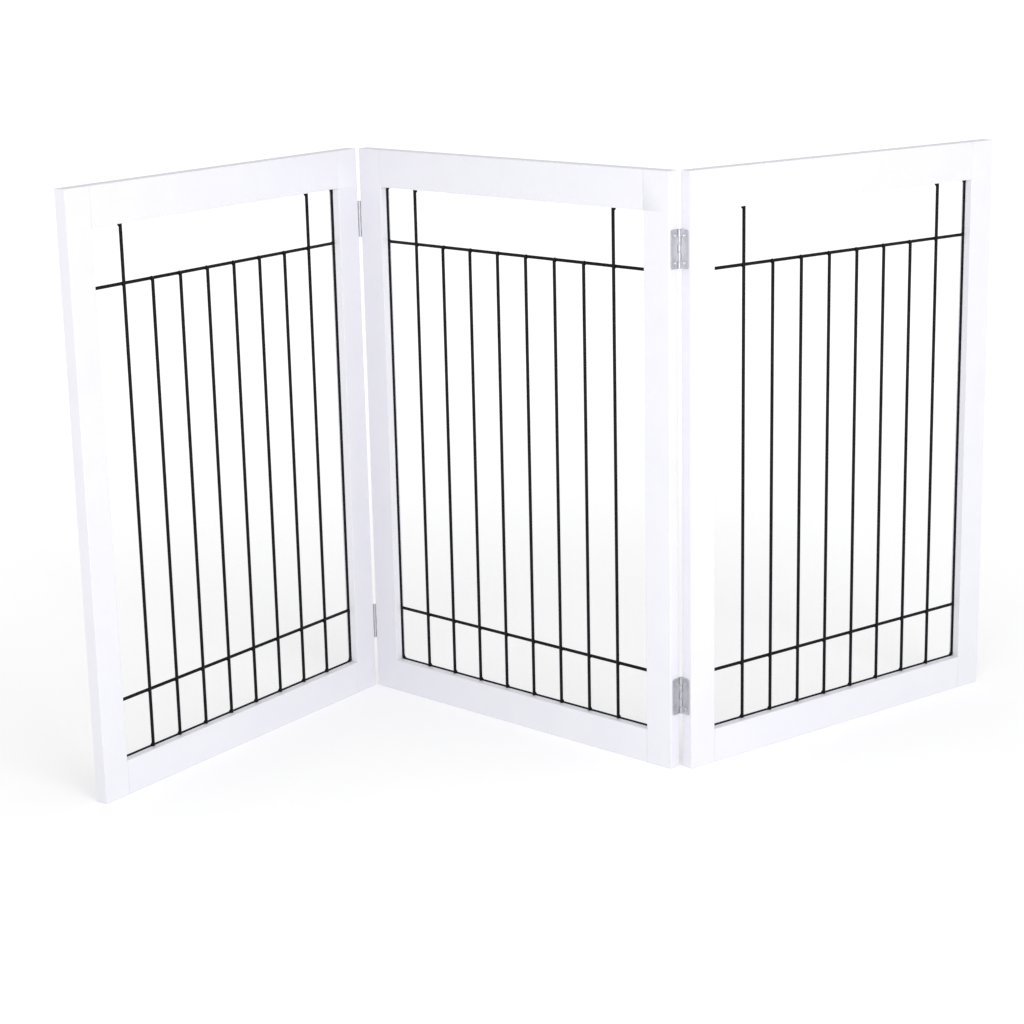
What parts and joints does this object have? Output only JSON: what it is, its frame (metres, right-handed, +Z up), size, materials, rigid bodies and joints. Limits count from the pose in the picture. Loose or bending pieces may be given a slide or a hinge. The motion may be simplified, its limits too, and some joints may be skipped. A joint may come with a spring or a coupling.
{
  "type": "folding pet gate",
  "caption": "Free-standing folding pet gate: white wood-framed panels with black welded wire grilles, joined by butt hinges so it stands in a zigzag or folds flat.",
  "frame": {"origin": "on the floor, under the middle of the gate's outline as it stands at rest", "axes": "+Z up, +X along the gate from the left panel to the right panel, -Y towards the front, where the left pair of panels has its hinge pins"},
  "size_m": [1.1679, 0.4526, 0.762],
  "materials": {
    "white_paint": "satin white paint sprayed on fibreboard",
    "black_wire": "black powder coat on welded steel wire",
    "zinc_plate": "zinc plated pressed steel",
    "bright_screw": "bright zinc plated steel",
    "beech": "plain turned wood"
  },
  "bodies": {
    "middle_panel": {"middle_panel_left_stile": "white_paint", "middle_panel_right_stile": "white_paint", "middle_panel_top_rail": "white_paint", "middle_panel_bottom_rail": "white_paint", "middle_panel_grille": "black_wire", "middle_panel_bottom_left_dowel": "beech", "middle_panel_bottom_right_dowel": "beech", "middle_panel_top_left_dowel": "beech", "middle_panel_top_right_dowel": "beech", "left_lower_hinge_middle_leaf": "zinc_plate", "left_lower_hinge_middle_leaf_lower_screw": "bright_screw", "left_lower_hinge_middle_leaf_upper_screw": "bright_screw", "left_lower_hinge_pin": "zinc_plate", "left_upper_hinge_middle_leaf": "zinc_plate", "left_upper_hinge_middle_leaf_lower_screw": "bright_screw", "left_upper_hinge_middle_leaf_upper_screw": "bright_screw", "left_upper_hinge_pin": "zinc_plate", "right_lower_hinge_middle_leaf": "zinc_plate", "right_lower_hinge_middle_leaf_lower_screw": "bright_screw", "right_lower_hinge_middle_leaf_upper_screw": "bright_screw", "right_lower_hinge_pin": "zinc_plate", "right_upper_hinge_middle_leaf": "zinc_plate", "right_upper_hinge_middle_leaf_lower_screw": "bright_screw", "right_upper_hinge_middle_leaf_upper_screw": "bright_screw", "right_upper_hinge_pin": "zinc_plate"},
    "left_panel": {"left_panel_left_stile": "white_paint", "left_panel_right_stile": "white_paint", "left_panel_top_rail": "white_paint", "left_panel_bottom_rail": "white_paint", "left_panel_grille": "black_wire", "left_panel_bottom_left_dowel": "beech", "left_panel_bottom_right_dowel": "beech", "left_panel_top_left_dowel": "beech", "left_panel_top_right_dowel": "beech", "left_lower_hinge_left_leaf": "zinc_plate", "left_lower_hinge_left_leaf_lower_screw": "bright_screw", "left_lower_hinge_left_leaf_upper_screw": "bright_screw", "left_upper_hinge_left_leaf": "zinc_plate", "left_upper_hinge_left_leaf_lower_screw": "bright_screw", "left_upper_hinge_left_leaf_upper_screw": "bright_screw"},
    "right_panel": {"right_panel_left_stile": "white_paint", "right_panel_right_stile": "white_paint", "right_panel_top_rail": "white_paint", "right_panel_bottom_rail": "white_paint", "right_panel_grille": "black_wire", "right_panel_bottom_left_dowel": "beech", "right_panel_bottom_right_dowel": "beech", "right_panel_top_left_dowel": "beech", "right_panel_top_right_dowel": "beech", "right_lower_hinge_right_leaf": "zinc_plate", "right_lower_hinge_right_leaf_lower_screw": "bright_screw", "right_lower_hinge_right_leaf_upper_screw": "bright_screw", "right_upper_hinge_right_leaf": "zinc_plate", "right_upper_hinge_right_leaf_lower_screw": "bright_screw", "right_upper_hinge_right_leaf_upper_screw": "bright_screw"}
  },
  "joints": [
    {"name": "left_fold", "type": "hinge", "parent": "middle_panel", "child": "left_panel", "pos_m": [-0.2673, 0.21476, 0.381], "axis": [0, 0, 1], "range_deg": [-96.9, 83.1]},
    {"name": "right_fold", "type": "hinge", "parent": "middle_panel", "child": "right_panel", "pos_m": [0.14838, -0.12633, 0.381], "axis": [0, 0, 1], "range_deg": [-78.7, 101.3]}
  ]
}
